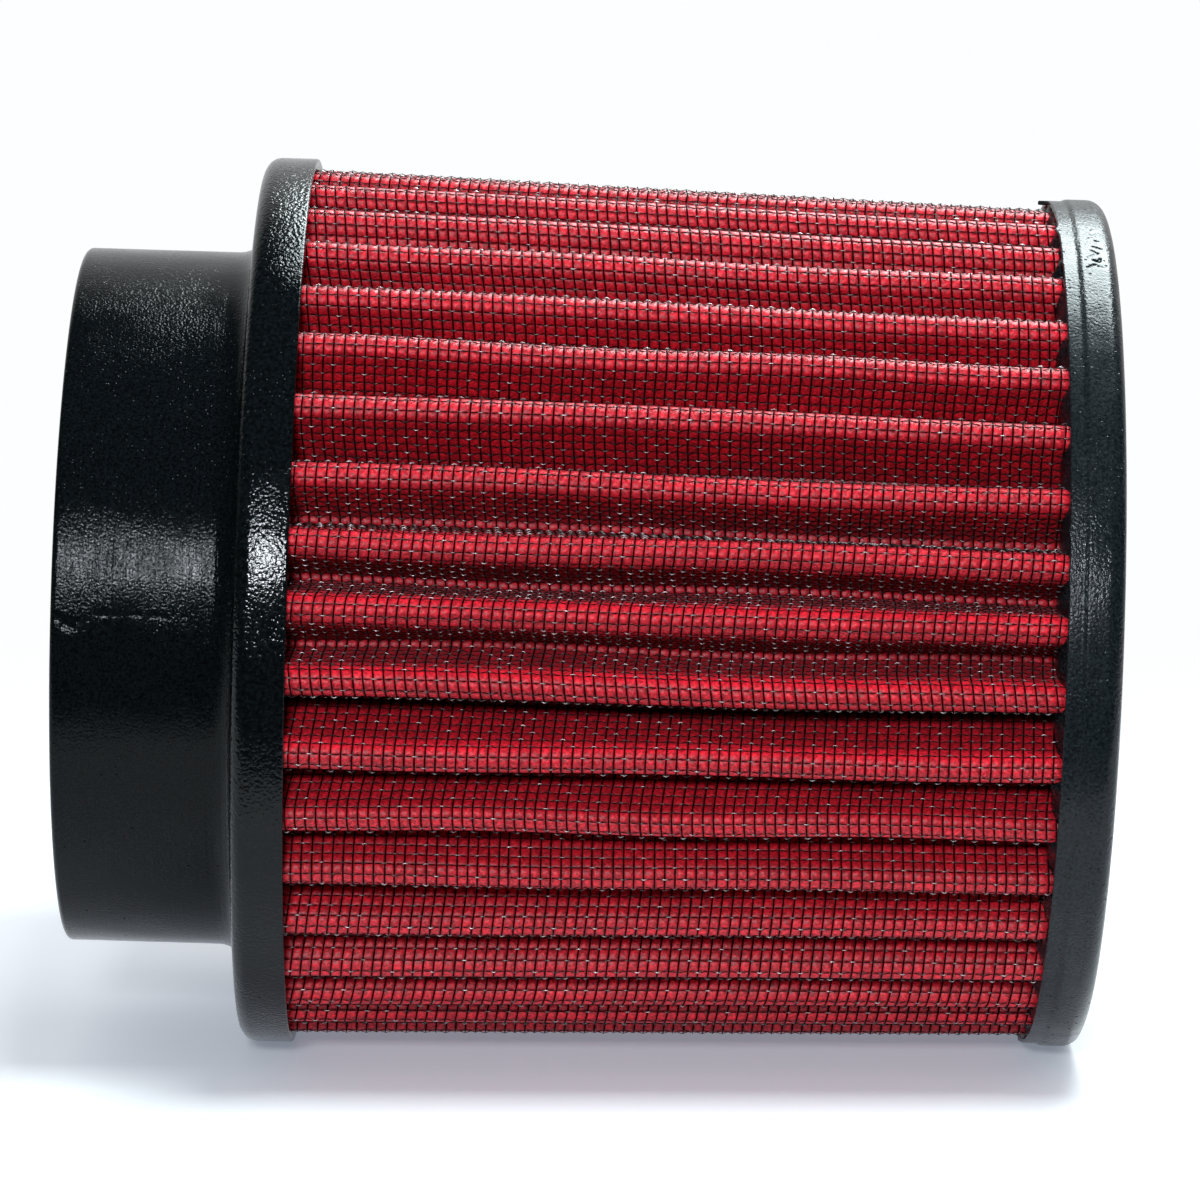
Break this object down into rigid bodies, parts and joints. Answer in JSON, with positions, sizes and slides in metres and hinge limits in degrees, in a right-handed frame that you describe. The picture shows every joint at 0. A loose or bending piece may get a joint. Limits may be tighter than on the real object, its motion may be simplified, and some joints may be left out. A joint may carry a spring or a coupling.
{
  "type": "clamp-on pleated engine air filter",
  "caption": "Round, slightly tapered air filter: red pleated gauze under black wire screen, a black moulded clamp-on inlet neck at one end and a closed moulded cap at the other.",
  "frame": {"origin": "centre of the end cap's outer face, on which the filter stands", "axes": "+Z along the filter's axis, from the closed end cap to the mouth of the inlet neck; a pleat crest lies on +X and on -Y"},
  "size_m": [0.1428, 0.1428, 0.1631],
  "materials": {
    "moulded_polyurethane": "satin black moulded polyurethane",
    "cotton_gauze": "oiled red cotton gauze",
    "coated_wire": "black epoxy-coated steel wire"
  },
  "bodies": {
    "root": {"inlet_flange": "moulded_polyurethane", "end_cap": "moulded_polyurethane", "filter_media": "cotton_gauze", "outer_screen": "coated_wire", "inner_screen": "coated_wire"}
  },
  "joints": []
}
